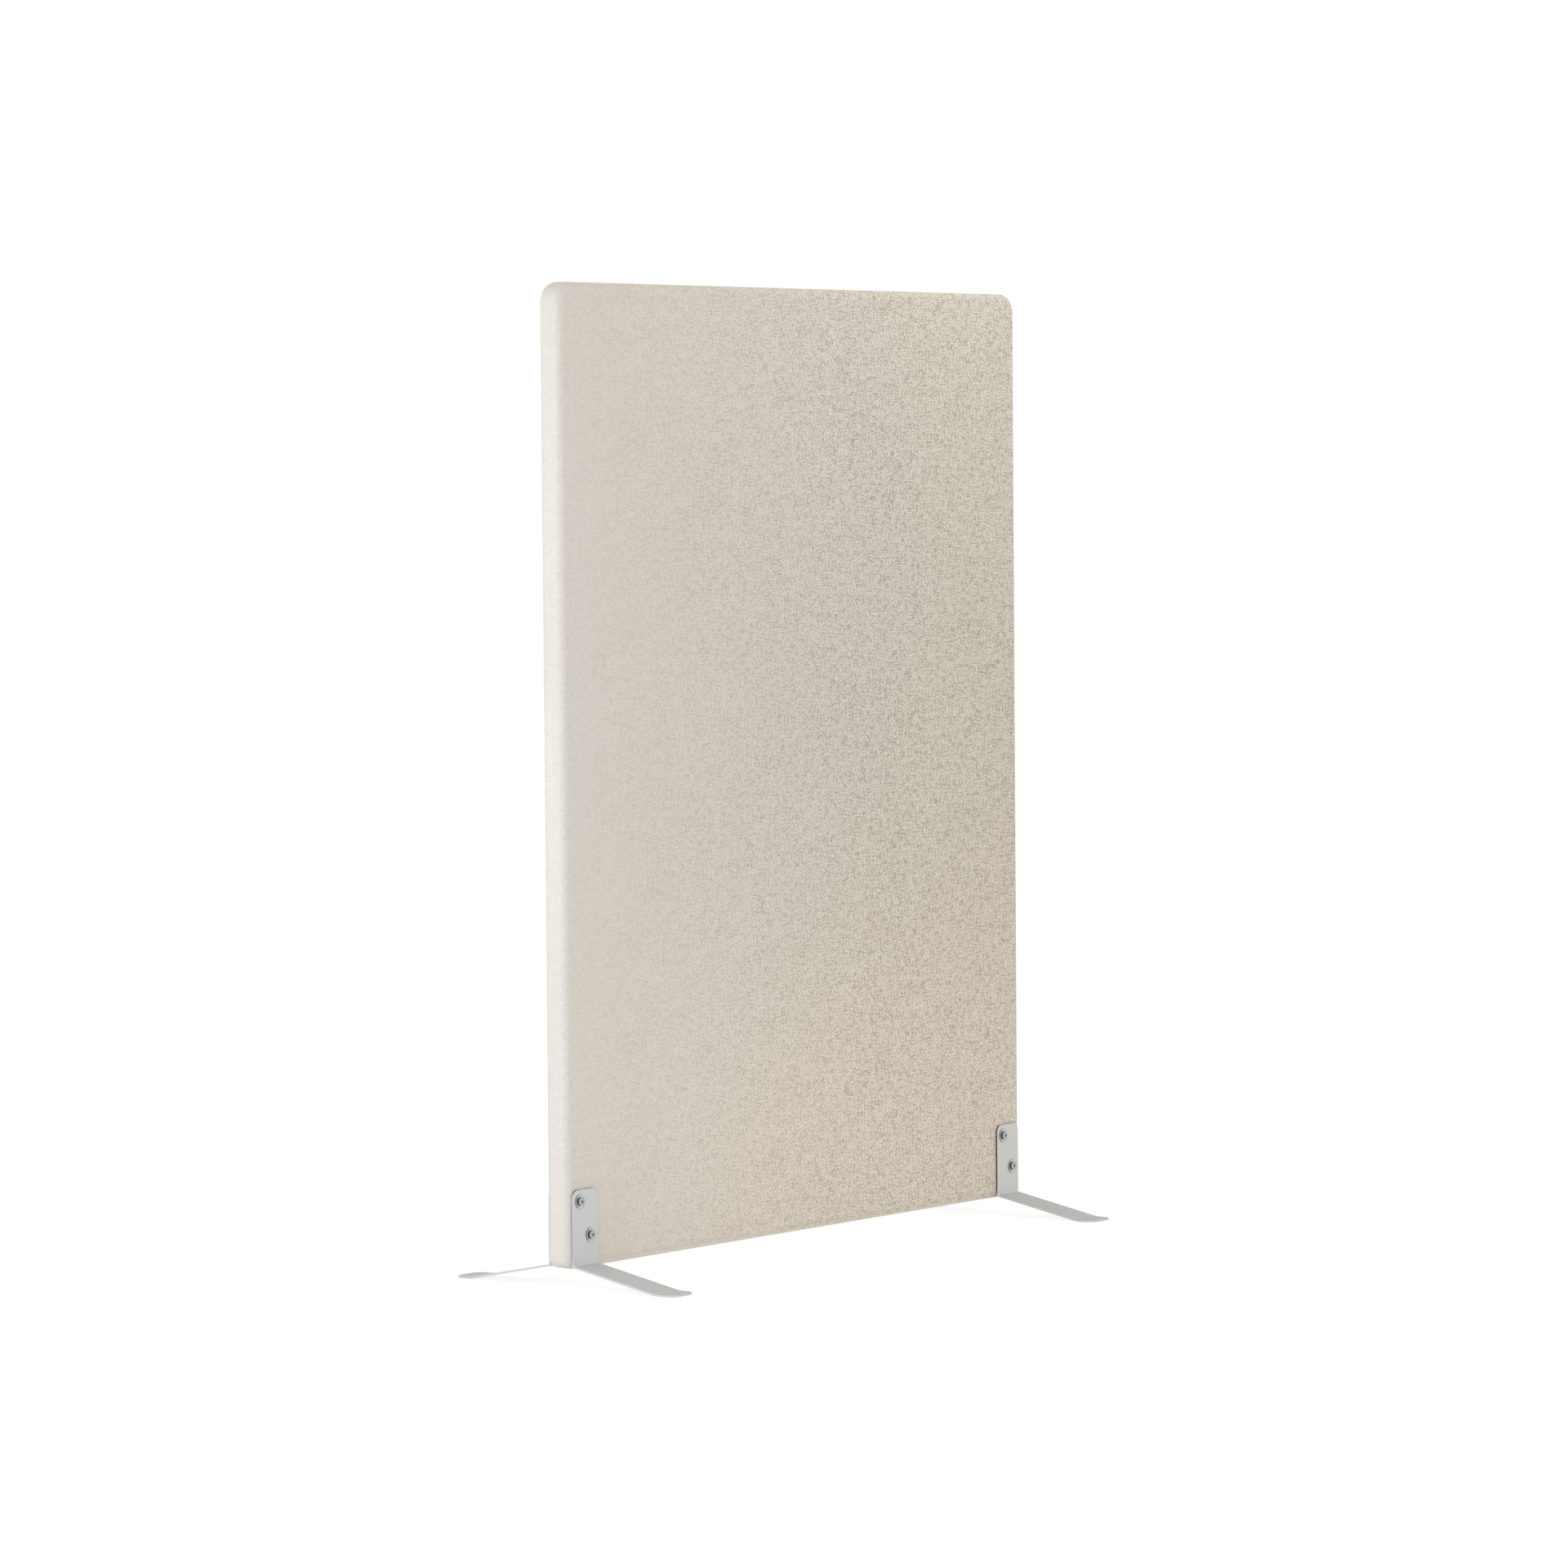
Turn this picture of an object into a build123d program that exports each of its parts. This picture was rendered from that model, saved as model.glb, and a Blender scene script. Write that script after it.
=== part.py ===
from build123d import *
import os

# A free-standing floor screen: an upholstered, sound-absorbing panel on four bent steel feet.
# Lengths are in millimetres. X runs along the screen, -Y is its front and +Z is up.
# The origin lies on the floor, under the middle of the panel.

# Panel, over the fabric
panel_width = 1200.0
panel_height = 1500.0
panel_thickness = 42.0
floor_gap = 30.0
top_corner_radius = 40.0
bottom_corner_radius = 15.0
edge_radius = 13.0

# Soft layers over the frame
fabric_thickness = 1.0
wadding_thickness = 5.0
hem_depth = 12.0
hem_end_inset = 35.0

# Timber frame
rail_height = 45.0
middle_rail_height = 45.0
stile_width = 45.0
foot_block_width = 90.0
foot_block_height = 150.0
frame_arris = 4.0
middle_rail_level_share = 0.5

# Loose tenons at the joints of the frame
tenon_width = 24.0
tenon_thickness = 10.0
tenon_length = 50.0
mortise_clearance = 0.1
mortise_end_room = 1.0

# Absorbing core
core_side_clearance = 0.5

# Feet, bent from flat steel
foot_width = 60.0
steel_thickness = 3.0
foot_end_inset = 10.5
foot_reach = 194.0
plate_rise = 120.0
plate_corner_radius = 12.0
fold_rise = 3.0
fold_inner_radius = 2.0
pad_run = 32.0
pad_bend_radius = 80.0
pad_corner_radius = 18.0

# Foot screws, set on a diagonal so that those of a front and a back foot miss each other
screw_edge_inset = 17.5
upper_screw_drop = 18.0
screw_level_pitch = 53.0
screw_diameter = 8.0
screw_length = 25.0
screw_hole_diameter = 9.0
head_diameter = 14.0
head_height = 3.2
head_rim_height = 2.4
head_crown_diameter = 11.0
socket_across_flats = 4.0
socket_depth = 1.2
washer_diameter = 22.0
washer_thickness = 1.5
washer_hole_diameter = 8.4

# Threaded inserts in the foot blocks
insert_diameter = 12.0
insert_length = 15.0
insert_clearance = 0.05
thread_clearance = 0.1
insert_hole_end_room = 3.0

# Closing strip, whose tongue wedges the two hems of the cover into a groove in the frame
strip_width = 16.0
strip_thickness = 2.0
strip_end_inset = 25.0
strip_corner_radius = 4.0
tongue_thickness = 4.0
tongue_height = 11.0
tongue_end_clearance = 2.0
groove_end_room = 1.0

# How far a cutting tool runs past what it cuts
overrun = 5.0

# Places that follow from the sizes
panel_top = floor_gap + panel_height
face_depth = panel_thickness / 2
frame_inset = fabric_thickness + wadding_thickness
frame_depth = panel_thickness - 2 * frame_inset
frame_end = panel_width / 2 - frame_inset
frame_bottom = floor_gap + frame_inset
frame_top = panel_top - frame_inset
bottom_rail_top = frame_bottom + rail_height
top_rail_bottom = frame_top - rail_height
foot_block_top = frame_bottom + foot_block_height
middle_level = frame_bottom + (frame_top - frame_bottom) * middle_rail_level_share
middle_rail_top = middle_level + middle_rail_height / 2
middle_rail_bottom = middle_level - middle_rail_height / 2
stile_inner = frame_end - stile_width
foot_block_inner = frame_end - foot_block_width
plate_top = floor_gap + plate_rise
foot_centre = panel_width / 2 - foot_end_inset - foot_width / 2
screw_offset = foot_width / 2 - screw_edge_inset
head_seat = steel_thickness + washer_thickness
insert_mouth = -frame_inset
hem_end = panel_width / 2 - hem_end_inset
hem_outside = tongue_thickness / 2 + fabric_thickness


def span(x_low, x_high, y_low, y_high, z_low, z_high):
    """A box between two limits along each axis."""
    middle = Pos((x_low + x_high) / 2, (y_low + y_high) / 2, (z_low + z_high) / 2)
    return middle * Box(x_high - x_low, y_high - y_low, z_high - z_low)


def panel_slab(inset):
    """The upright outline of the panel with sharp rims, drawn in by the same amount on every side."""
    outline = Rectangle(panel_width - 2 * inset, panel_height - 2 * inset)
    outline = fillet(outline.vertices().group_by(Axis.Y)[-1], top_corner_radius - inset)
    outline = fillet(outline.vertices().group_by(Axis.Y)[0], bottom_corner_radius - inset)
    upright = Pos(0, 0, floor_gap + panel_height / 2) * (Plane.XZ * outline)
    return extrude(upright, amount=face_depth - inset, both=True)


def rims(slab):
    """The edges all round the front and the back of a slab."""
    by_depth = slab.edges().group_by(Axis.Y)
    return by_depth[0] + by_depth[-1]


def soft_form(inset):
    """The panel with its soft, rounded rims."""
    slab = panel_slab(inset)
    return fillet(rims(slab), edge_radius - inset)


def frame_form():
    """The timber frame's envelope, its arrises taken off so that the wadding stays even over them."""
    slab = panel_slab(frame_inset)
    return chamfer(rims(slab), frame_arris)


def at_foot(solid, end, side):
    """Sets a piece of a foot, drawn for the back of the panel, at one of the four corners."""
    seat = Pos(end * foot_centre, side * face_depth, 0)
    turn = Rot(0, 0, 0) if side > 0 else Rot(0, 0, 180)
    return seat * turn * solid


def foot_screw_axes():
    """The two screw axes of a foot, leaving its plate square to the panel's face."""
    upper = plate_top - upper_screw_drop
    places = [(screw_offset, upper), (-screw_offset, upper - screw_level_pitch)]
    return [Pos(x, 0, z) * Rot(-90, 0, 0) for x, z in places]


def disc(diameter, low, high):
    """A round blank about the Z axis between two levels."""
    return Pos(0, 0, low) * Cylinder(
        diameter / 2, high - low, align=(Align.CENTER, Align.CENTER, Align.MIN)
    )


def bent_foot():
    """Flat steel folded at the panel's lower edge, sloping to a pad flat on the floor."""
    middle = steel_thickness / 2
    line = FilletPolyline(
        (middle, plate_top),
        (middle, floor_gap + fold_rise),
        (foot_reach - pad_run, middle),
        (foot_reach, middle),
        radius=[fold_inner_radius + middle, pad_bend_radius],
    )
    foot = extrude(Plane.YZ * trace(line, steel_thickness), amount=foot_width / 2, both=True)
    plate_corners = foot.edges().filter_by(Axis.Y).group_by(Axis.Z)[-1]
    foot = fillet(plate_corners, plate_corner_radius)
    pad_corners = foot.edges().filter_by(Axis.Z).group_by(Axis.Y)[-1]
    foot = fillet(pad_corners, pad_corner_radius)
    hole = disc(screw_hole_diameter, -overrun, steel_thickness + overrun)
    return foot - [axis * hole for axis in foot_screw_axes()]


def foot_screw():
    """A screw with a low, nearly flat round head and a shallow hexagon socket, seated on the washer."""
    crown_rise = head_height - head_rim_height
    crown = Cone(
        head_diameter / 2, head_crown_diameter / 2, crown_rise, align=(Align.CENTER, Align.CENTER, Align.MIN)
    )
    head = disc(head_diameter, 0, head_rim_height) + Pos(0, 0, head_rim_height) * crown
    shank = disc(screw_diameter, -screw_length, 0)
    key_hole = RegularPolygon(socket_across_flats / 2, 6, major_radius=False)
    socket = extrude(Pos(0, 0, head_height - socket_depth) * key_hole, amount=socket_depth + overrun)
    return Pos(0, 0, head_seat) * (head + shank - socket)


def washer():
    """A large flat washer, lying on the foot's plate."""
    ring = disc(washer_diameter, steel_thickness, head_seat)
    return ring - disc(washer_hole_diameter, steel_thickness - overrun, head_seat + overrun)


def threaded_insert():
    """A threaded sleeve, flush with the face of the foot block."""
    sleeve = disc(insert_diameter, insert_mouth - insert_length, insert_mouth)
    bore = disc(screw_diameter + 2 * thread_clearance, insert_mouth - insert_length - overrun, overrun)
    return sleeve - bore


def insert_hole():
    """The hole for an insert, with room past it for the tip of the screw."""
    bottom = insert_mouth - insert_length - insert_hole_end_room
    return disc(insert_diameter + 2 * insert_clearance, bottom, insert_mouth + overrun)


def tenons(gap, end_room):
    """The loose tenons, grown by a gap and an end room for the mortises that they sit in."""
    width = tenon_width + 2 * gap
    thickness = tenon_thickness + 2 * gap
    length = tenon_length + 2 * end_room
    upright = Box(width, thickness, length)
    level = Box(length, thickness, width)
    keys = []
    for end in (-1, 1):
        stile_middle = end * (stile_inner + frame_end) / 2
        keys += [Pos(stile_middle, 0, joint) * upright for joint in (foot_block_top, top_rail_bottom)]
        keys.append(Pos(end * stile_inner, 0, middle_level) * level)
        keys.append(Pos(end * foot_block_inner, 0, (frame_bottom + bottom_rail_top) / 2) * level)
    return keys


def hem_groove():
    """The groove along the underside that takes the hems and the tongue between them."""
    top = floor_gap + hem_depth + groove_end_room
    return span(-hem_end, hem_end, -hem_outside, hem_outside, floor_gap - overrun, top)


def closing_strip():
    """The strip along the underside that holds the hems, with its tongue standing between them."""
    outline = RectangleRounded(panel_width - 2 * strip_end_inset, strip_width, strip_corner_radius)
    flange = extrude(Pos(0, 0, floor_gap - strip_thickness) * outline, amount=strip_thickness)
    end = hem_end - tongue_end_clearance
    half = tongue_thickness / 2
    return flange + span(-end, end, -half, half, floor_gap - strip_thickness, floor_gap + tongue_height)


def frame_pieces():
    """Rails, stiles and foot blocks within the frame's envelope, mortised for their tenons."""
    form = frame_form()
    ends = frame_end + overrun
    depth = frame_depth / 2 + overrun
    low = frame_bottom - overrun
    high = frame_top + overrun
    pieces = {
        "top_rail": span(-ends, ends, -depth, depth, top_rail_bottom, high),
        "middle_rail": span(-stile_inner, stile_inner, -depth, depth, middle_rail_bottom, middle_rail_top),
        "bottom_rail": span(-foot_block_inner, foot_block_inner, -depth, depth, low, bottom_rail_top),
        "left_stile": span(-ends, -stile_inner, -depth, depth, foot_block_top, top_rail_bottom),
        "right_stile": span(stile_inner, ends, -depth, depth, foot_block_top, top_rail_bottom),
        "left_foot_block": span(-ends, -foot_block_inner, -depth, depth, low, foot_block_top),
        "right_foot_block": span(foot_block_inner, ends, -depth, depth, low, foot_block_top),
    }
    cuts = tenons(mortise_clearance, mortise_end_room) + [hem_groove()]
    pieces = {name: (form & place) - cuts for name, place in pieces.items()}
    for end, name in ((-1, "left_foot_block"), (1, "right_foot_block")):
        bores = [at_foot(axis * insert_hole(), end, side) for side in (-1, 1) for axis in foot_screw_axes()]
        pieces[name] -= bores
    return pieces


def core_slabs():
    """The absorbing slabs, standing on the rails and as deep as the frame."""
    side = stile_inner - core_side_clearance
    half = frame_depth / 2
    upper = span(-side, side, -half, half, middle_rail_top, top_rail_bottom - core_side_clearance)
    lower = span(-side, side, -half, half, bottom_rail_top, middle_rail_bottom - core_side_clearance)
    notch_top = foot_block_top + core_side_clearance
    notch_inner = foot_block_inner - core_side_clearance
    for end in (-1, 1):
        x_low, x_high = sorted((end * notch_inner, end * (side + overrun)))
        lower -= span(x_low, x_high, -half - overrun, half + overrun, bottom_rail_top - overrun, notch_top)
    return {"upper_core": upper, "lower_core": lower}


def screw_slits():
    """The square openings that cross slits leave in the cover and the wadding, one for each foot screw."""
    half = screw_hole_diameter / 2
    opening = span(-half, half, -half, half, -frame_inset - overrun, overrun)
    corners = [(end, side) for end in (-1, 1) for side in (-1, 1)]
    return [at_foot(axis * opening, end, side) for end, side in corners for axis in foot_screw_axes()]


def soft_layers():
    """Front and back wadding meeting along the middle of the edges, and the cover over them."""
    padded = soft_form(fabric_thickness)
    wadding = padded - frame_form() - hem_groove() - screw_slits()
    half = tongue_thickness / 2
    hem_top = floor_gap + hem_depth
    hems = span(-hem_end, hem_end, -hem_outside, hem_outside, floor_gap, hem_top)
    between = span(-hem_end, hem_end, -half, half, floor_gap - overrun, hem_top + overrun)
    cover = soft_form(0) - padded + hems - between - screw_slits()
    wide = panel_width / 2 + overrun
    deep = face_depth + overrun
    front = span(-wide, wide, -deep, 0, floor_gap - overrun, panel_top + overrun)
    return {
        "front_wadding": wadding & front,
        "back_wadding": wadding - front,
        "fabric_cover": cover,
    }


def feet():
    """The four feet, with the fasteners of all of them gathered by kind."""
    pieces = {"foot_screws": [], "foot_washers": [], "threaded_inserts": []}
    kinds = (foot_screw(), washer(), threaded_insert())
    foot = bent_foot()
    for end, end_name in ((-1, "left"), (1, "right")):
        for side, side_name in ((-1, "front"), (1, "back")):
            pieces[side_name + "_" + end_name + "_foot"] = at_foot(foot, end, side)
            for group, piece in zip(("foot_screws", "foot_washers", "threaded_inserts"), kinds):
                pieces[group] += [at_foot(axis * piece, end, side) for axis in foot_screw_axes()]
    return pieces


def floor_screen():
    """Every piece of the screen, by name."""
    pieces = frame_pieces()
    pieces["frame_tenons"] = tenons(0, 0)
    pieces.update(core_slabs())
    pieces.update(soft_layers())
    pieces["closing_strip"] = closing_strip()
    pieces.update(feet())
    return pieces


os.makedirs("parts", exist_ok=True)
for name, piece in floor_screen().items():
    if isinstance(piece, list):
        piece = Compound([solid for item in piece for solid in item.solids()])
    export_step(piece, f"parts/{name}.step")
    print(name, len(piece.solids()), round(piece.volume))
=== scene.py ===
import bpy
import bmesh
import math
from mathutils import Matrix, Vector


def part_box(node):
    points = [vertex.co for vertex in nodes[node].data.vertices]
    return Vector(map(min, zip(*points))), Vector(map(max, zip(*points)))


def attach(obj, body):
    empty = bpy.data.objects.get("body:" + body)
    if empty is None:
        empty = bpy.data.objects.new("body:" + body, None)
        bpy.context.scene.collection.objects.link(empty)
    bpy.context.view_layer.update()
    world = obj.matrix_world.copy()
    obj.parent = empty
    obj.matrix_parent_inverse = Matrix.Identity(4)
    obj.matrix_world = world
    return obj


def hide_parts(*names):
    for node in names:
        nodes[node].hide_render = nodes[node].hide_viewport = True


# Floor screen: a padded, fabric-covered panel on four feet bent from flat steel.
# Metres, in the axes of the frame: X along the screen, -Y its front, Z up, origin on the floor.

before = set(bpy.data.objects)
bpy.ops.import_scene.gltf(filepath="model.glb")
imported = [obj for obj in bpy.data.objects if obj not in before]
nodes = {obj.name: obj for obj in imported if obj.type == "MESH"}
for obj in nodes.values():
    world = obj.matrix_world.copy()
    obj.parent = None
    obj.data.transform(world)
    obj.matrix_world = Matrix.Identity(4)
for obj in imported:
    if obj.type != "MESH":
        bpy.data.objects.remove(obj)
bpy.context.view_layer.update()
scene = bpy.context.scene
print("frame loaded:", len(nodes), "nodes")


# Node helpers: a Field is one value on its way through a node tree, so a rule reads as arithmetic
class Field:
    def __init__(self, tree, socket):
        self.tree = tree
        self.socket = socket

    def calc(self, operation, *others):
        feeds = dict(enumerate((self,) + others))
        node = addNode(self.tree, "ShaderNodeMath", feeds, operation=operation)
        return Field(self.tree, node.outputs[0])

    def __add__(self, other):
        return self.calc("ADD", other)

    def __sub__(self, other):
        return self.calc("SUBTRACT", other)

    def __mul__(self, other):
        return self.calc("MULTIPLY", other)

    def __truediv__(self, other):
        return self.calc("DIVIDE", other)

    def __rsub__(self, other):
        return (self * -1.0) + other

    __rmul__ = __mul__

    def atLeast(self, other):
        return self.calc("MAXIMUM", other)

    def atMost(self, other):
        return self.calc("MINIMUM", other)

    def power(self, exponent):
        return self.calc("POWER", exponent)

    def over(self, limit):
        return self.calc("GREATER_THAN", limit)

    def sign(self):
        return self.calc("SIGN")

    def size(self):
        return self.calc("ABSOLUTE")

    def whole(self):
        return self.calc("FLOOR")

    def rest(self):
        return self.calc("FRACT")

    def sine(self):
        return self.calc("SINE")

    def cosine(self):
        return self.calc("COSINE")

    def root(self):
        return self.calc("SQRT")


def addNode(tree, kind, feeds=None, **settings):
    node = tree.nodes.new(kind)
    for name, value in settings.items():
        setattr(node, name, value)
    for socket, feed in (feeds or {}).items():
        source = feed.socket if isinstance(feed, Field) else feed
        if isinstance(source, bpy.types.NodeSocket):
            tree.links.new(source, node.inputs[socket])
        else:
            node.inputs[socket].default_value = source
    return node


def combine(tree, x=0.0, y=0.0, z=0.0):
    return addNode(tree, "ShaderNodeCombineXYZ", {0: x, 1: y, 2: z}).outputs[0]


def separate(tree, source):
    node = addNode(tree, "ShaderNodeSeparateXYZ", {0: source})
    return [Field(tree, socket) for socket in node.outputs]


def geometryTree(name, sizes):
    # a new tree with one named input for each size; returns the tree, its inputs and its two ends
    kinds = {float: "NodeSocketFloat", int: "NodeSocketInt", bool: "NodeSocketBool"}
    tree = bpy.data.node_groups.new(name, "GeometryNodeTree")
    tree.interface.new_socket("Geometry", in_out="INPUT", socket_type="NodeSocketGeometry")
    for label, value in sizes.items():
        kind = kinds.get(type(value), "NodeSocketMaterial")
        tree.interface.new_socket(label, in_out="INPUT", socket_type=kind)
    tree.interface.new_socket("Geometry", in_out="OUTPUT", socket_type="NodeSocketGeometry")
    start = tree.nodes.new("NodeGroupInput")
    end = tree.nodes.new("NodeGroupOutput")
    fields = {label: Field(tree, start.outputs[label]) for label in sizes}
    return tree, fields, start, end


def useTree(piece, tree, sizes):
    modifier = piece.modifiers.new(tree.name, "NODES")
    modifier.node_group = tree
    for socket in tree.interface.items_tree:
        if socket.in_out == "INPUT" and socket.name in sizes:
            modifier[socket.identifier] = sizes[socket.name]


def newObject(name, mesh=None):
    piece = bpy.data.objects.new(name, mesh or bpy.data.meshes.new(name))
    scene.collection.objects.link(piece)
    return piece


def settle(piece):
    # the evaluated piece as a plain mesh with no modifiers left
    bpy.context.view_layer.update()
    graph = bpy.context.evaluated_depsgraph_get()
    done = bpy.data.meshes.new_from_object(
        piece.evaluated_get(graph), preserve_all_data_layers=True, depsgraph=graph
    )
    piece.modifiers.clear()
    piece.data = done
    done.name = piece.name
    return piece


def smoothByAngle(piece, degrees):
    piece.data.shade_smooth()
    piece.data.set_sharp_from_angle(angle=math.radians(degrees))


def boxes(name, spans):
    # one mesh of plain boxes, each from its low corner to its high corner; for cutters and hems
    shape = bmesh.new()
    for low, high in spans:
        middle = Matrix.Translation((Vector(low) + Vector(high)) / 2)
        size = Matrix.Diagonal((Vector(high) - Vector(low)).to_4d())
        bmesh.ops.create_cube(shape, size=1, matrix=middle @ size)
    mesh = bpy.data.meshes.new(name)
    shape.to_mesh(mesh)
    shape.free()
    return newObject(name, mesh)


def boolean(piece, other, operation):
    modifier = piece.modifiers.new(operation, "BOOLEAN")
    modifier.operation = operation
    modifier.object = other
    modifier.solver = "EXACT"


def dress(piece, material, slotName, *replaced):
    # gives a finished piece its material, its body and the CAD nodes that it stands for
    piece.data.materials.clear()
    piece.data.materials.append(material)
    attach(piece, "root")
    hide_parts(*replaced)


# Material helpers
def newMaterial(name, **uniform):
    material = bpy.data.materials.new(name)
    material.use_nodes = True
    tree = material.node_tree
    shader = tree.nodes["Principled BSDF"]
    for label, value in uniform.items():
        shader.inputs[label.replace("_", " ")].default_value = value
    return material, tree, shader


def colourRamp(tree, factor, stops):
    node = addNode(tree, "ShaderNodeValToRGB", {"Fac": factor})
    ramp = node.color_ramp
    while len(ramp.elements) < len(stops):
        ramp.elements.new(1.0)
    for element, (place, colour) in zip(ramp.elements, stops):
        element.position = place
        element.color = (*colour, 1.0)
    return node.outputs["Color"]


def noise(tree, place, scale, detail=2.0, roughness=0.5):
    feeds = {"Vector": place, "Scale": scale, "Detail": detail, "Roughness": roughness}
    return Field(tree, addNode(tree, "ShaderNodeTexNoise", feeds).outputs[0])


def randomly(tree, *cell):
    node = addNode(tree, "ShaderNodeTexWhiteNoise", {"Vector": combine(tree, *cell)})
    return Field(tree, node.outputs["Value"])


def bump(tree, shader, height, depth):
    node = addNode(tree, "ShaderNodeBump", {"Height": height, "Distance": depth, "Strength": 1.0})
    tree.links.new(node.outputs["Normal"], shader.inputs["Normal"])


def objectPlace(tree, stretch=(1.0, 1.0, 1.0)):
    place = addNode(tree, "ShaderNodeTexCoord").outputs["Object"]
    return addNode(tree, "ShaderNodeMapping", {"Vector": place, "Scale": stretch}).outputs["Vector"]


def grainRamp(tree, grain, low, high, darkest=0.3, palest=0.7):
    return colourRamp(tree, grain, [(darkest, low), (palest, high)])


# The camera of the photograph
cameraSizes = {
    "place": (-7.93339, -6.00791, 1.25298),
    "yaw": 52.8,  # degrees from +Y towards +X
    "pitch": -2.936,
    "roll": -0.438,
    "lens": 143.545,
    "sensor": 36.0,
    "farthest": 100.0,
}


def makeCamera(v):
    camera = bpy.data.objects.new("camera", bpy.data.cameras.new("camera"))
    scene.collection.objects.link(camera)
    yaw = math.radians(v["yaw"])
    pitch = math.radians(v["pitch"])
    level = math.cos(pitch)
    forward = Vector((math.sin(yaw) * level, math.cos(yaw) * level, math.sin(pitch)))
    right = Vector((math.cos(yaw), -math.sin(yaw), 0.0))
    turned = Matrix.Rotation(math.radians(-v["roll"]), 3, forward)
    right = turned @ right
    up = right.cross(forward)
    axes = Matrix((right, up, -forward)).transposed()
    camera.matrix_world = Matrix.Translation(v["place"]) @ axes.to_4x4()
    camera.data.lens = v["lens"]
    camera.data.sensor_width = v["sensor"]
    camera.data.clip_end = v["farthest"]
    scene.camera = camera


makeCamera(cameraSizes)
print("camera set")


# The soft panel: one rule for the cover's skin and the wadding under it
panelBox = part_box("fabric_cover")
panelSizes = {
    "Half Width": panelBox[1].x,
    "Half Height": (panelBox[1].z - panelBox[0].z) / 2,
    "Half Depth": panelBox[1].y,
    "Middle Level": (panelBox[1].z + panelBox[0].z) / 2,
    "Edge Radius": 0.013,
    "Top Corner": 0.031,
    "Bottom Corner": 0.015,
    "Columns": 84,
    "Rows": 100,
    "Rim Share": 0.44,  # share of the columns and rows that goes into the rims
    "Slack": 0.0004,  # how far the cloth dips between its firm places
    "Firm Margin": 0.05,  # no dips this close to the rim
    "Dip Scale": 6.0,
    "Weld": 0.00001,
    "Both Sides": True,
}
coverSizes = {
    "cloth": 0.001,
    "hemDepth": 0.012,
    "hemEnd": 0.565,
    "tongueHalf": 0.002,
    "slitHalf": 0.0045,
    "slitDepth": 0.007,
    "slitOver": 0.002,  # how far the cutters stand out of the cover
}
waddingSizes = {"inset": 0.00115, "thickness": 0.0046, "grooveHalf": 0.003, "grooveTop": 0.05}
coreSizes = {"rounding": 0.0015, "weld": 0.00001, "flatAngle": 1.0}


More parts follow.
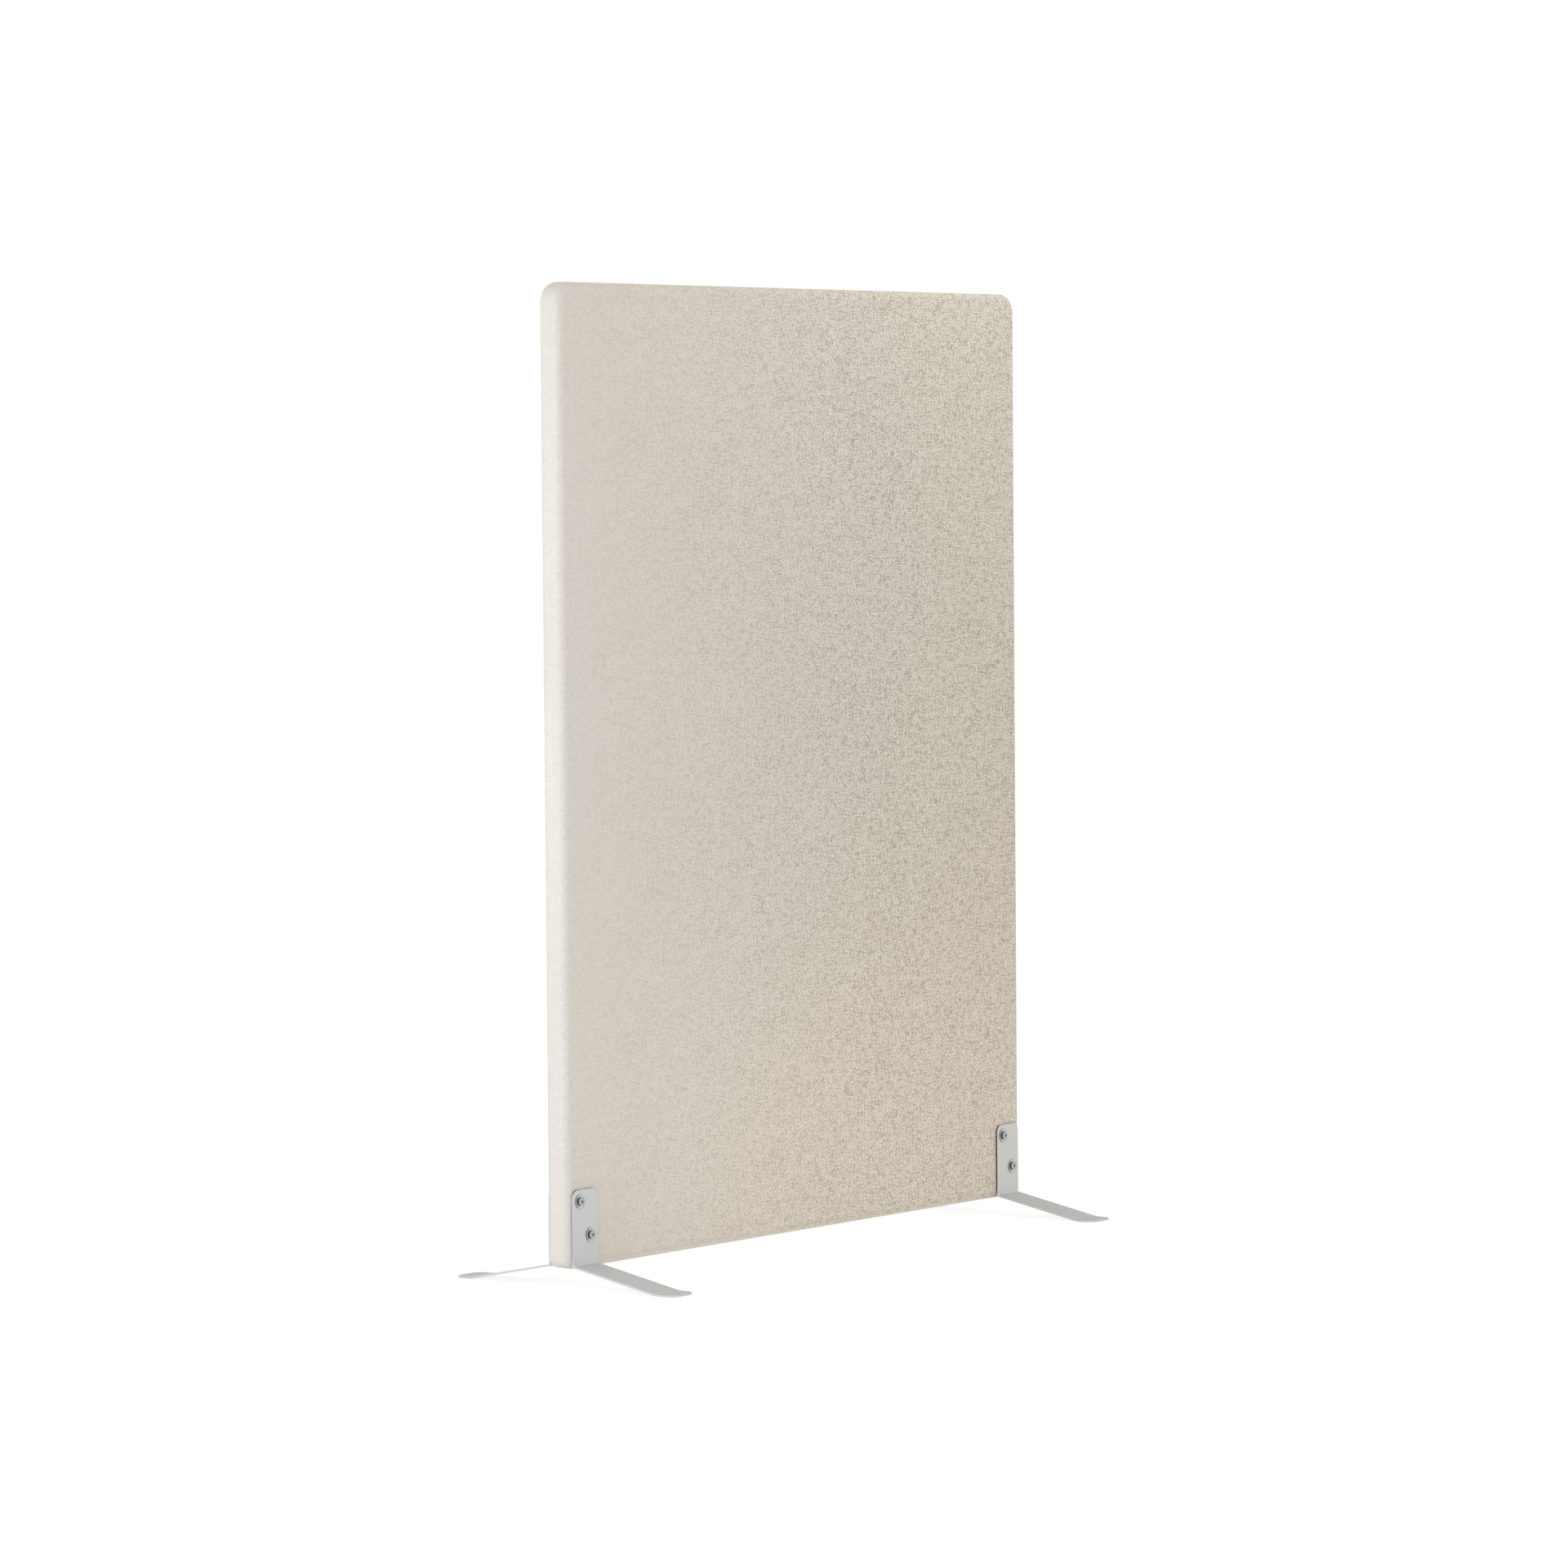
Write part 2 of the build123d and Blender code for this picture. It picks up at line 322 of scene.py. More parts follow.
def softFormTree(sizes):
    tree, v, _, end = geometryTree("softForm", sizes)
    # the girth runs from the flat face to the middle of the edge
    girth = v["Edge Radius"] * (math.pi / 2 - 1) + v["Half Depth"]
    zone = v["Top Corner"] - v["Edge Radius"] + girth
    grid = addNode(
        tree,
        "GeometryNodeMeshGrid",
        {"Size X": 2.0, "Size Y": 2.0, "Vertices X": v["Columns"], "Vertices Y": v["Rows"]},
    )
    across, upward, _ = separate(tree, addNode(tree, "GeometryNodeInputPosition").outputs[0])

    def spread(share, reach):
        # finer columns and rows towards the rim, coarse ones over the flat face
        inner = (share.size() / (1.0 - v["Rim Share"])).atMost(1.0) * (reach - zone)
        return inner + (share.size() + v["Rim Share"] - 1.0).atLeast(0.0) / v["Rim Share"] * zone

    # the flat pattern of the cloth, its square corners drawn into quarter rounds
    corner = (v["Top Corner"] - v["Bottom Corner"]) * upward.over(0.0)
    corner = corner + v["Bottom Corner"] - v["Edge Radius"]
    block = corner + girth
    farX = spread(across, v["Half Width"] - v["Edge Radius"] + girth)
    farZ = spread(upward, v["Half Height"] - v["Edge Radius"] + girth)
    cornerX = v["Half Width"] - v["Edge Radius"] - corner
    cornerZ = v["Half Height"] - v["Edge Radius"] - corner
    partX = (farX - cornerX).atLeast(0.0) / block
    partZ = (farZ - cornerZ).atLeast(0.0) / block
    length = (partX * partX + partZ * partZ).root()
    turnX = partX / length
    turnZ = partZ / length
    radius = partX.atLeast(partZ) * block
    patternX = (farX.atMost(cornerX) + turnX * radius) * across.sign()
    patternZ = (farZ.atMost(cornerZ) + turnZ * radius) * upward.sign()

    # the same cloth laid over the face, round the rim and along half of the edge
    beyond = radius - corner
    turn = (beyond / v["Edge Radius"]).atLeast(0.0).atMost(math.pi / 2)
    reach = corner + beyond.atMost(0.0) + v["Edge Radius"] * turn.sine()
    x = (farX.atMost(cornerX) + turnX * reach) * across.sign()
    z = (farZ.atMost(cornerZ) + turnZ * reach) * upward.sign() + v["Middle Level"]
    fromRim = (v["Half Width"] - patternX.size()).atMost(v["Half Height"] - patternZ.size())
    firm = (fromRim / v["Firm Margin"] - 1.0).atLeast(0.0).atMost(1.0)
    dips = noise(tree, combine(tree, patternX, patternZ), v["Dip Scale"], 1.0)
    alongEdge = (beyond - v["Edge Radius"] * (math.pi / 2)).atLeast(0.0)
    y = v["Edge Radius"] * (1.0 - turn.cosine()) + alongEdge
    y = y - v["Half Depth"] + v["Slack"] * dips * firm

    def half(patternU, depth):
        pattern = combine(tree, patternU, patternZ)
        mapped = addNode(
            tree,
            "GeometryNodeStoreNamedAttribute",
            {"Geometry": grid.outputs["Mesh"], "Name": "weaveMap", "Value": pattern},
            data_type="FLOAT2",
            domain="CORNER",
        )
        feeds = {"Geometry": mapped.outputs[0], "Position": combine(tree, x, depth, z)}
        return addNode(tree, "GeometryNodeSetPosition", feeds)

    # the cloth runs on round the left end to the back, and so does its pattern
    leftEnd = (v["Half Width"] - v["Edge Radius"] + girth) * -2.0
    front = half(patternX, y)
    back = half(leftEnd - patternX, y * -1.0)
    flipped = addNode(tree, "GeometryNodeFlipFaces", {"Mesh": back.outputs[0]})
    joined = tree.nodes.new("GeometryNodeJoinGeometry")
    tree.links.new(flipped.outputs[0], joined.inputs[0])
    tree.links.new(front.outputs[0], joined.inputs[0])
    merged = addNode(
        tree, "GeometryNodeMergeByDistance", {"Geometry": joined.outputs[0], "Distance": v["Weld"]}
    )
    choice = addNode(
        tree,
        "GeometryNodeSwitch",
        {"Switch": v["Both Sides"], "False": front.outputs[0], "True": merged.outputs[0]},
        input_type="GEOMETRY",
    )
    smooth = addNode(tree, "GeometryNodeSetShadeSmooth", {"Geometry": choice.outputs[0]})
    tree.links.new(smooth.outputs[0], end.inputs[0])
    return tree


softForm = softFormTree(panelSizes)


def softSkin(name, inset, thickness, bothSides):
    # the panel's form drawn in by an inset and given its thickness inwards
    piece = newObject(name)
    sizes = dict(panelSizes)
    halves = ("Half Width", "Half Height", "Half Depth")
    rounds = ("Edge Radius", "Top Corner", "Bottom Corner")
    for label in halves + rounds:
        sizes[label] -= inset
    sizes["Both Sides"] = bothSides
    useTree(piece, softForm, sizes)
    wall = piece.modifiers.new("wall", "SOLIDIFY")
    wall.thickness = thickness
    wall.offset = -1.0
    wall.use_even_offset = False
    return piece


# Foot screws: eight places, one rule
feetSizes = {
    "centre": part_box("front_left_foot")[0].x + 0.030,  # half the width of a foot in from its edge
    "seat": panelBox[1].y,
    "offset": 0.0125,
    "upper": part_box("front_left_foot")[1].z - 0.018,  # this far under the top of the plate
    "pitch": 0.053,
}


def screwPlaces(v):
    # front feet are the back ones turned half round, so their screws lie the other way along X
    places = []
    for end in (-1, 1):
        for side in (-1, 1):
            for row in (0, 1):
                x = -end * v["centre"] + side * (1 - 2 * row) * v["offset"]
                places.append(Vector((x, side * v["seat"], v["upper"] - row * v["pitch"])))
    return places


def slitCutters(v):
    # the cross slits through which the screws pass, opened square
    spans = []
    for place in screwPlaces(feetSizes):
        half = Vector((v["slitHalf"], 0.0, v["slitHalf"]))
        near = place.y + math.copysign(v["slitOver"], place.y)
        far = place.y - math.copysign(v["slitDepth"], place.y)
        low, high = place - half, place + half
        spans.append(((low.x, min(near, far), low.z), (high.x, max(near, far), high.z)))
    return spans


def makeCover(v, material):
    bottom = panelBox[0].z
    end = v["hemEnd"]
    inner = v["tongueHalf"]
    outer = inner + v["cloth"]
    hemTop = bottom + v["hemDepth"]
    hemRoot = bottom + v["cloth"] / 2
    hemSpans = [((-end, side * inner, hemRoot), (end, side * outer, hemTop)) for side in (-1, 1)]
    hems = boxes("hems", hemSpans)
    gap = ((-end, -inner, bottom - v["cloth"]), (end, inner, hemTop))
    cutters = boxes("coverCuts", [gap] + slitCutters(v))
    cover = softSkin("coverSleeve", 0.0, v["cloth"], True)
    boolean(cover, hems, "UNION")
    boolean(cover, cutters, "DIFFERENCE")
    settle(cover)
    for helper in (hems, cutters):
        bpy.data.objects.remove(helper)
    dress(cover, material, "cover_fabric", "fabric_cover")


def makeWadding(v, material):
    end = coverSizes["hemEnd"]
    half = v["grooveHalf"]
    cutters = boxes("waddingCuts", slitCutters(coverSizes))
    groove = boxes("grooveCut", [((-end, -half, 0.0), (end, half, v["grooveTop"]))])
    sides = (("frontWadding", "front_wadding", 1), ("backWadding", "back_wadding", -1))
    for name, node, side in sides:
        wadding = settle(softSkin(name, v["inset"], v["thickness"], False))
        if side < 0:
            wadding.data.transform(Matrix.Scale(-1.0, 4, (0.0, 1.0, 0.0)))
            wadding.data.flip_normals()
        boolean(wadding, cutters, "DIFFERENCE")
        boolean(wadding, groove, "DIFFERENCE")
        settle(wadding)
        dress(wadding, material, "wadding", node)
    for helper in (cutters, groove):
        bpy.data.objects.remove(helper)


def makeCores(v, material):
    for name, node in (("upperCore", "upper_core"), ("lowerCore", "lower_core")):
        shape = bmesh.new()
        shape.from_mesh(nodes[node].data)
        bmesh.ops.remove_doubles(shape, verts=shape.verts, dist=v["weld"])
        flat = math.radians(v["flatAngle"])
        bmesh.ops.dissolve_limit(shape, angle_limit=flat, verts=shape.verts, edges=shape.edges)
        mesh = bpy.data.meshes.new(name)
        shape.to_mesh(mesh)
        shape.free()
        slab = newObject(name, mesh)
        edge = slab.modifiers.new("edge", "BEVEL")
        edge.width = v["rounding"]
        edge.segments = 2
        settle(slab)
        dress(slab, material, "core_absorber", node)


# Crepe cover: short floats of thread one way and the other, pits between them
weaveLook = {
    "pit": (0.300, 0.258, 0.205),
    "ground": (0.560, 0.510, 0.440),
    "crown": (0.690, 0.640, 0.560),
    "rowPitch": 0.0026,
    "rowFloat": 0.0095,
    "columnPitch": 0.0030,
    "columnFloat": 0.0062,
    "seeds": (3.0, 11.0),
    "stagger": 7.0,
    "leastLift": 0.20,
    "waver": 0.0013,
    "waverScale": 130.0,
    "relief": 0.0006,
    "fibre": 0.10,
    "fibreScale": 1700.0,
    "cloud": 0.05,
    "cloudScale": 4.0,
    "stops": (0.08, 0.45, 0.95),  # heights of the pit, the ground and the crown
    "leftEnd": -0.615,
    "calmest": 0.25,  # the weave stands out less towards the left end
    "calmRun": 1.10,
}


def crepeFabric(v):
    material, tree, shader = newMaterial(
        "crepeFabric",
        Roughness=0.92,
        Sheen_Weight=0.12,
        Sheen_Roughness=0.5,
        Specular_IOR_Level=0.25,
    )
    flat = addNode(tree, "ShaderNodeUVMap", uv_map="weaveMap").outputs["UV"]
    u, w, _ = separate(tree, flat)
    wobble = addNode(
        tree, "ShaderNodeTexNoise", {"Vector": flat, "Scale": v["waverScale"], "Detail": 1.0}
    )
    wobbleU, wobbleW, _ = separate(tree, wobble.outputs["Color"])
    u = u + (wobbleU - 0.5) * v["waver"]
    w = w + (wobbleW - 0.5) * v["waver"]

    def floats(along, across, pitch, length, seed):
        # threads side by side, each cut into floats of its own random height
        line = across / pitch
        thread = line.whole()
        start = randomly(tree, thread, seed, 0.0)
        run = along / length + start * v["stagger"]
        lift = randomly(tree, run.whole(), thread, seed + 1.0)
        lift = lift * (1.0 - v["leastLift"]) + v["leastLift"]
        side = line.rest() * 2.0 - 1.0
        tip = run.rest() * 2.0 - 1.0
        return lift * (1.0 - side * side) * (1.0 - (tip * tip).power(2.0))

    # whichever thread lies higher shows; where both are low there is a pit
    height = floats(u, w, v["rowPitch"], v["rowFloat"], v["seeds"][0])
    height = height.atLeast(floats(w, u, v["columnPitch"], v["columnFloat"], v["seeds"][1]))
    fibre = noise(tree, flat, v["fibreScale"], 2.0) - 0.5
    broad = noise(tree, flat, v["cloudScale"], 1.0) - 0.5
    calm = ((u - v["leftEnd"]).size() / v["calmRun"] + v["calmest"]).atMost(1.0)
    relief = (height - 0.5 + fibre * v["fibre"]) * calm
    tone = relief + broad * v["cloud"] + 0.5
    colour = colourRamp(tree, tone, list(zip(v["stops"], (v["pit"], v["ground"], v["crown"]))))
    tree.links.new(colour, shader.inputs["Base Color"])
    bump(tree, shader, relief.socket, v["relief"])
    return material


def fibreMaterial(name, colours, scale, depth, stretch=(1.0, 1.0, 1.0)):
    material, tree, shader = newMaterial(name, Roughness=1.0)
    place = objectPlace(tree, stretch)
    coarse = noise(tree, place, scale, 6.0, 0.6)
    tree.links.new(grainRamp(tree, coarse, *colours), shader.inputs["Base Color"])
    bump(tree, shader, noise(tree, place, scale * 3, 4.0, 0.7).socket, depth)
    return material


# Timber: straight grain along one axis, growth rings that waver, fine pores
timberLook = {
    "along": 0.05,  # how slowly the grain changes along its own axis
    "driftScale": 9.0,
    "drift": 0.03,
    "heart": 0.09,  # how far the middle of the tree lies outside the piece
    "poreScale": 900.0,
    "pores": 0.25,
    "relief": 0.0001,
}


def timberMaterial(name, grainAxis, pale, deep, rings, v=timberLook):
    material, tree, shader = newMaterial(name, Roughness=0.55)
    stretch = tuple(v["along"] if axis == grainAxis else 1.0 for axis in "xyz")
    place = objectPlace(tree, stretch)
    drift = addNode(
        tree, "ShaderNodeTexNoise", {"Vector": place, "Scale": v["driftScale"], "Detail": 2.0}
    )
    mixed = addNode(
        tree,
        "ShaderNodeVectorMath",
        {0: drift.outputs["Color"], 1: (v["drift"],) * 3, 2: place},
        operation="MULTIPLY_ADD",
    )
    first, second = {"x": (1, 2), "y": (0, 2), "z": (0, 1)}[grainAxis]
    parts = separate(tree, mixed.outputs[0])
    nearer = parts[first]
    farther = parts[second] + v["heart"]
    distance = (nearer * nearer + farther * farther).root()
    ring = (distance * rings).rest().power(2.0)
    tone = ring * (1.0 - v["pores"]) + noise(tree, place, v["poreScale"], 2.0) * v["pores"]
    tree.links.new(grainRamp(tree, tone, pale, deep, 0.1, 0.9), shader.inputs["Base Color"])
    bump(tree, shader, tone.socket, v["relief"])
    return material


# Painted shade: cut edges and rims get their colour darkened by ambient occlusion where they stand
# in the seam with what lies under them
paintedSeamLook = {
    "reach": 0.012,
    "closed": 0.64,  # openness at which a wall is fully dark
    "open": 0.82,  # openness at which it has its full colour
    "foldTop": 0.040,  # above it, all but the broad faces of the plate count as walls
    "lowest": 0.029,  # below it, nothing is darkened
}


def paintedSeamShade(tree, v, dark):
    # painted shade factor for the base colour, from ambient occlusion: 1 on broad and free faces;
    # the given share on walls close to the cover or the plate
    place = addNode(tree, "ShaderNodeTexCoord").outputs
    sideways, facing, _ = [part.size() for part in separate(tree, place["Normal"])]
    level = separate(tree, place["Object"])[2]
    seen = addNode(tree, "ShaderNodeAmbientOcclusion", {"Distance": v["reach"]}, samples=8)
    free = (Field(tree, seen.outputs["AO"]) - v["closed"]) / (v["open"] - v["closed"])
    free = free.atLeast(0.0).atMost(1.0)
    wall = sideways.atLeast((1.0 - facing) * level.over(v["foldTop"])) * level.over(v["lowest"])
    return 1.0 - wall * (1.0 - free) * (1.0 - dark)


metalLook = {"cloudScale": 14.0, "roughSpread": 0.08, "relief": 0.00001}
plasticLook = {"grainScale": 1200.0, "darkening": 0.96, "roughSpread": 0.1, "relief": 0.00002}


def metalMaterial(name, colour, rough, flake=0.03, scale=2500.0, seam=1.0, v=metalLook, **uniform):
    material, tree, shader = newMaterial(name, **{"Metallic": 1.0, **uniform})
    place = objectPlace(tree)
    fine = noise(tree, place, scale, 2.0)
    cloud = noise(tree, place, v["cloudScale"], 3.0)
    low = tuple(channel * (1.0 - flake) for channel in colour)
    high = tuple(channel * (1.0 + flake) for channel in colour)
    # painted shade: the base colour is scaled down on walls that stand in a seam
    shade = paintedSeamShade(tree, paintedSeamLook, seam).socket
    feeds = {0: grainRamp(tree, fine, low, high), "Scale": shade}
    shaded = addNode(tree, "ShaderNodeVectorMath", feeds, operation="SCALE")
    tree.links.new(shaded.outputs[0], shader.inputs["Base Color"])
    spread = cloud * v["roughSpread"] + (rough - v["roughSpread"] / 2)
    tree.links.new(spread.socket, shader.inputs["Roughness"])
    bump(tree, shader, fine.socket, v["relief"])
    return material


def plasticMaterial(name, colour, rough, v=plasticLook):
    material, tree, shader = newMaterial(name)
    grain = noise(tree, objectPlace(tree), v["grainScale"], 3.0)
    low = tuple(channel * v["darkening"] for channel in colour)
    tree.links.new(grainRamp(tree, grain, low, colour), shader.inputs["Base Color"])
    tree.links.new((grain * v["roughSpread"] + rough).socket, shader.inputs["Roughness"])
    bump(tree, shader, grain.socket, v["relief"])
    return material


crepe = crepeFabric(weaveLook)
whiteFibre = fibreMaterial("whiteFibre", ((0.78, 0.78, 0.76), (0.90, 0.90, 0.88)), 60.0, 0.0008)
pressedFibre = fibreMaterial(
    "pressedFibre", ((0.30, 0.27, 0.19), (0.42, 0.38, 0.28)), 90.0, 0.0005, (1.0, 2.5, 1.0)
)
pine = ((0.66, 0.45, 0.25), (0.46, 0.26, 0.11), 114.0)
pineAlong = timberMaterial("pineAlong", "x", *pine)
pineUpright = timberMaterial("pineUpright", "z", *pine)
hardwood = timberMaterial("hardwood", "z", (0.47, 0.27, 0.13), (0.34, 0.18, 0.08), 180.0)
beech = timberMaterial("beech", "z", (0.58, 0.36, 0.20), (0.47, 0.27, 0.14), 240.0)
# painted shade: seam is the share of colour that the lacquer, screw and washer walls keep where the
# seam is closed
silverLacquer = metalMaterial(
    "silverLacquer",
    (0.525, 0.525, 0.518),
    0.35,
    seam=0.03,
    Metallic=0.33,
    Specular_Tint=(0.7, 0.7, 0.7, 1.0),
)
screwSteel = metalMaterial("screwSteel", (0.41, 0.41, 0.405), 0.19, 0.02, seam=0.08)
washerSteel = metalMaterial("washerSteel", (0.52, 0.52, 0.515), 0.20, 0.02, seam=0.12)
zincPlate = metalMaterial("zincPlate", (0.55, 0.57, 0.59), 0.35, 0.05, 800.0)
stripPlastic = plasticMaterial("stripPlastic", (0.62, 0.59, 0.54), 0.5)
print("materials made")

makeCover(coverSizes, crepe)
print("cover made")
makeWadding(waddingSizes, whiteFibre)
makeCores(coreSizes, pressedFibre)
print("wadding and cores made")


# Feet: a flat blank with rounded corners, bent along a path of two bends
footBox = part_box("back_left_foot")
footSizes = {
    "Half Width": (footBox[1].x - footBox[0].x) / 2,
    "Steel": 0.003,
    "Plate Top": footBox[1].z,
    "Fold Level": 0.033,
    "Reach": footBox[1].y - footBox[0].y,
    "Pad Run": 0.032,
    "Fold Radius": 0.0035,
    "Pad Bend Radius": 0.080,
    "Plate Corner": 0.012,
    "Pad Corner": 0.018,
    "Columns": 45,
    "Corner Rows": 9,
    "Bend Rows": 9,
    "Weld": 0.00002,
}
footFinish = {
    "arris": 0.00035,
    "arrisAngle": 50.0,
    "holeRadius": 0.0045,
    "holeDepth": 0.02,
    "holeSides": 32,
    "smoothAngle": 40.0,
}


def indexed(tree, kind, values):
    node = addNode(tree, "GeometryNodeIndexSwitch", data_type=kind)
    while len(node.index_switch_items) < len(values):
        node.index_switch_items.new()
    tree.links.new(addNode(tree, "GeometryNodeInputIndex").outputs[0], node.inputs["Index"])
    for place, value in enumerate(values):
        source = value.socket if isinstance(value, Field) else value
        if isinstance(source, bpy.types.NodeSocket):
            tree.links.new(source, node.inputs[place + 1])
        else:
            node.inputs[place + 1].default_value = source
    return node.outputs[0]


def bentFootTree(sizes):
    tree, v, _, end = geometryTree("bentFoot", sizes)
    middle = v["Steel"] * 0.5
    stops = [
        combine(tree, 0.0, middle, v["Plate Top"]),
        combine(tree, 0.0, middle, v["Plate Top"] - v["Plate Corner"]),
        combine(tree, 0.0, middle, v["Fold Level"]),
        combine(tree, 0.0, v["Reach"] - v["Pad Run"], middle),
        combine(tree, 0.0, v["Reach"] - v["Pad Corner"], middle),
        combine(tree, 0.0, v["Reach"], middle),
    ]
    line = addNode(tree, "GeometryNodeMeshLine", {"Count": len(stops)})
    corners = indexed(tree, "VECTOR", stops)
    placed = addNode(
        tree, "GeometryNodeSetPosition", {"Geometry": line.outputs[0], "Position": corners}
    )
    curve = addNode(tree, "GeometryNodeMeshToCurve", {"Mesh": placed.outputs[0]})
    radii = indexed(tree, "FLOAT", [0.0, 0.0, v["Fold Radius"], v["Pad Bend Radius"], 0.0, 0.0])
    bent = addNode(
        tree,
        "GeometryNodeFilletCurve",
        {"Curve": curve.outputs[0], "Radius": radii, "Count": v["Bend Rows"]},
        mode="POLY",
    )
    lengthAt = addNode(tree, "GeometryNodeSplineParameter").outputs["Length"]
    marked = addNode(
        tree,
        "GeometryNodeStoreNamedAttribute",
        {"Geometry": bent.outputs[0], "Name": "run", "Value": lengthAt},
        data_type="FLOAT",
        domain="POINT",
    )
    points = addNode(tree, "GeometryNodeCurveToMesh", {"Curve": marked.outputs[0]})
    counted = addNode(tree, "GeometryNodeAttributeDomainSize", {"Geometry": points.outputs[0]})
    bendRows = Field(tree, counted.outputs["Point Count"])
    measured = addNode(tree, "GeometryNodeCurveLength", {"Curve": marked.outputs[0]})
    total = Field(tree, measured.outputs[0])
    rows = bendRows + v["Corner Rows"] * 2.0
    blank = addNode(
        tree,
        "GeometryNodeMeshGrid",
        {"Size X": 1.0, "Size Y": 1.0, "Vertices X": v["Columns"], "Vertices Y": rows},
    )
    shareX, shareY, _ = separate(tree, addNode(tree, "GeometryNodeInputPosition").outputs[0])
    row = ((shareY + 0.5) * (rows - 1.0) + 0.5).whole()
    fromPad = rows - 1.0 - row
    middleRow = (row - v["Corner Rows"]).atLeast(0.0)
    runs = addNode(tree, "GeometryNodeInputNamedAttribute", {"Name": "run"}, data_type="FLOAT")
    bendRow = middleRow.atMost(bendRows - 1.0)
    sampled = addNode(
        tree,
        "GeometryNodeSampleIndex",
        {"Geometry": points.outputs[0], "Value": runs.outputs[0], "Index": bendRow},
        data_type="FLOAT",
        domain="POINT",
    )
    bendRun = Field(tree, sampled.outputs[0])
    inPlate = (v["Corner Rows"] - row).over(0.0)
    inPad = (v["Corner Rows"] - fromPad).over(0.0)
    plateRun = row / v["Corner Rows"] * v["Plate Corner"]
    padRun = total - fromPad / v["Corner Rows"] * v["Pad Corner"]
    inBend = (1.0 - inPlate) * (1.0 - inPad)
    kept = bendRun.atLeast(v["Plate Corner"]).atMost(total - v["Pad Corner"])
    run = plateRun * inPlate + padRun * inPad + kept * inBend
    x = shareX * v["Half Width"] * 2.0

    def rounded(x, run, radius, depth, sign):
        # draws the square corner of the blank into a quarter round
        # the depth runs from the centre line of the arc
        inner = v["Half Width"] - radius
        partX = (x.size() - inner).atLeast(0.0) / radius
        partY = depth.atLeast(0.0) / radius
        length = (partX * partX + partY * partY).root()
        drawn = partX.atLeast(partY)
        newX = (x.size().atMost(inner) + partX / length * drawn * radius) * x.sign()
        inside = partY.over(0.0)
        newRun = run + (partY / length * drawn - partY) * radius * sign
        return newX * inside + x * (1.0 - inside), newRun

    x, run = rounded(x, run, v["Plate Corner"], v["Plate Corner"] - run, -1.0)
    x, run = rounded(x, run, v["Pad Corner"], run - total + v["Pad Corner"], 1.0)
    onPath = addNode(
        tree,
        "GeometryNodeSampleCurve",
        {"Curves": marked.outputs[0], "Length": run},
        mode="LENGTH",
        use_all_curves=True,
    )
    _, alongY, alongZ = separate(tree, onPath.outputs["Position"])
    shaped = addNode(
        tree,
        "GeometryNodeSetPosition",
        {"Geometry": blank.outputs[0], "Position": combine(tree, x, alongY, alongZ)},
    )
    welded = addNode(
        tree, "GeometryNodeMergeByDistance", {"Geometry": shaped.outputs[0], "Distance": v["Weld"]}
    )
    smooth = addNode(tree, "GeometryNodeSetShadeSmooth", {"Geometry": welded.outputs[0]})
    tree.links.new(smooth.outputs[0], end.inputs[0])
    return tree


def makeFeet(sizes, v, material):
    foot = newObject("foot")
    useTree(foot, bentFootTree(sizes), sizes)
    settle(foot)
    wall = foot.modifiers.new("steel", "SOLIDIFY")
    wall.thickness = sizes["Steel"]
    wall.offset = 0.0
    wall.use_even_offset = True
    edge = foot.modifiers.new("arris", "BEVEL")
    edge.width = v["arris"]
    edge.segments = 2
    edge.angle_limit = math.radians(v["arrisAngle"])
    settle(foot)
    holes = bmesh.new()
    for row, side in ((0, 1), (1, -1)):
        level = feetSizes["upper"] - row * feetSizes["pitch"]
        place = Matrix.Translation((side * feetSizes["offset"], 0.0, level))
        bmesh.ops.create_cone(
            holes,
            cap_ends=True,
            segments=v["holeSides"],
            radius1=v["holeRadius"],
            radius2=v["holeRadius"],
            depth=v["holeDepth"],
            matrix=place @ Matrix.Rotation(math.pi / 2, 4, "X"),
        )
    holeMesh = bpy.data.meshes.new("holes")
    holes.to_mesh(holeMesh)
    holes.free()
    cutter = newObject("holes", holeMesh)
    boolean(foot, cutter, "DIFFERENCE")
    settle(foot)
    bpy.data.objects.remove(cutter)
    smoothByAngle(foot, v["smoothAngle"])
    weighted = foot.modifiers.new("flatFaces", "WEIGHTED_NORMAL")
    weighted.keep_sharp = True
    settle(foot)
    for end, endName in ((-1, "left"), (1, "right")):
        for side, sideName in ((-1, "front"), (1, "back")):
            mesh = foot.data.copy()
            if side < 0:
                mesh.transform(Matrix.Rotation(math.pi, 4, "Z"))
            seat = Vector((-end * feetSizes["centre"], side * feetSizes["seat"], 0.0))
            mesh.transform(Matrix.Translation(seat))
            piece = newObject(sideName + endName.capitalize() + "Foot", mesh)
            dress(piece, material, "foot_lacquer", f"{sideName}_{endName}_foot")
    bpy.data.objects.remove(foot)


makeFeet(footSizes, footFinish, silverLacquer)
print("feet made")


